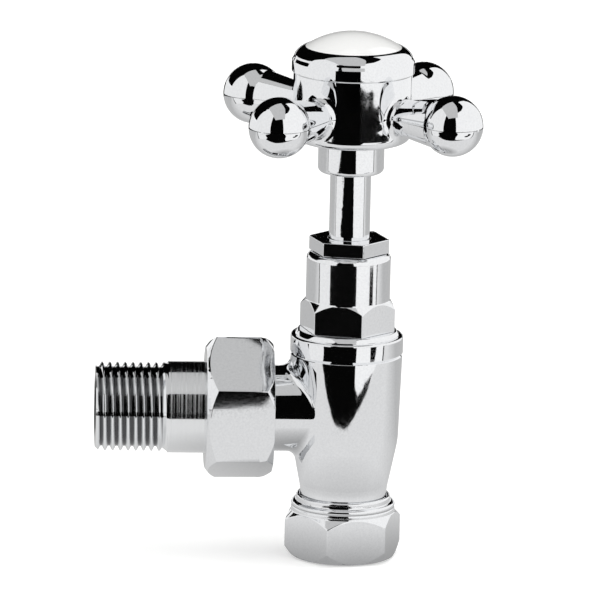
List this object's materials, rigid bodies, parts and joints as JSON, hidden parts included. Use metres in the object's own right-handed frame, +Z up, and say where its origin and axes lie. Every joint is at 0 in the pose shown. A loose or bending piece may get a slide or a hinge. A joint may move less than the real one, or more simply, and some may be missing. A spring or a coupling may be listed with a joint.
{
  "type": "manual radiator valve",
  "caption": "Chrome angle radiator valve with a crosshead handle and porcelain index, a compression inlet below and a union with a threaded radiator tail at the side.",
  "frame": {"origin": "centre of the pipe inlet's mouth, on the compression nut's lower face", "axes": "+Z up along the pipe and spindle axis, -X out along the radiator tail, -Y towards the viewer"},
  "size_m": [0.0882, 0.0588, 0.1253],
  "materials": {
    "chrome_plate": "polished",
    "porcelain": "glazed",
    "bare_brass": "turned",
    "seal_rubber": "matte",
    "packing": "matte",
    "steel": "zinc plated"
  },
  "bodies": {
    "valve_body": {"valve_body": "chrome_plate", "compression_nut": "chrome_plate", "union_nut": "chrome_plate", "radiator_tail": "chrome_plate", "bonnet": "chrome_plate", "gland_nut": "chrome_plate", "compression_olive": "bare_brass", "packing_washer": "bare_brass", "gland_ring": "bare_brass", "tail_o_ring": "seal_rubber", "bonnet_o_ring": "seal_rubber", "gland_packing": "packing"},
    "jumper": {"jumper_valve": "bare_brass", "jumper_washer": "seal_rubber", "jumper_nut": "bare_brass"},
    "handle": {"spindle": "chrome_plate", "jumper_snap_ring": "steel", "crosshead_handle": "chrome_plate", "handle_screw": "steel", "screw_washer": "steel", "index_bezel": "chrome_plate", "porcelain_index": "porcelain"}
  },
  "joints": [
    {"name": "spindle_lift", "type": "slide", "parent": "valve_body", "child": "jumper", "axis": [0, 0, 1], "range_m": [-0.005, 0]},
    {"name": "handle_turn", "type": "hinge", "parent": "jumper", "child": "handle", "pos_m": [0, 0, 0.10695], "axis": [0, 0, 1], "range_deg": [-1200, 0]}
  ],
  "couplings": [
    {"joint": "spindle_lift", "follows": "handle_turn", "m_per_rad": 0.00023873}
  ]
}
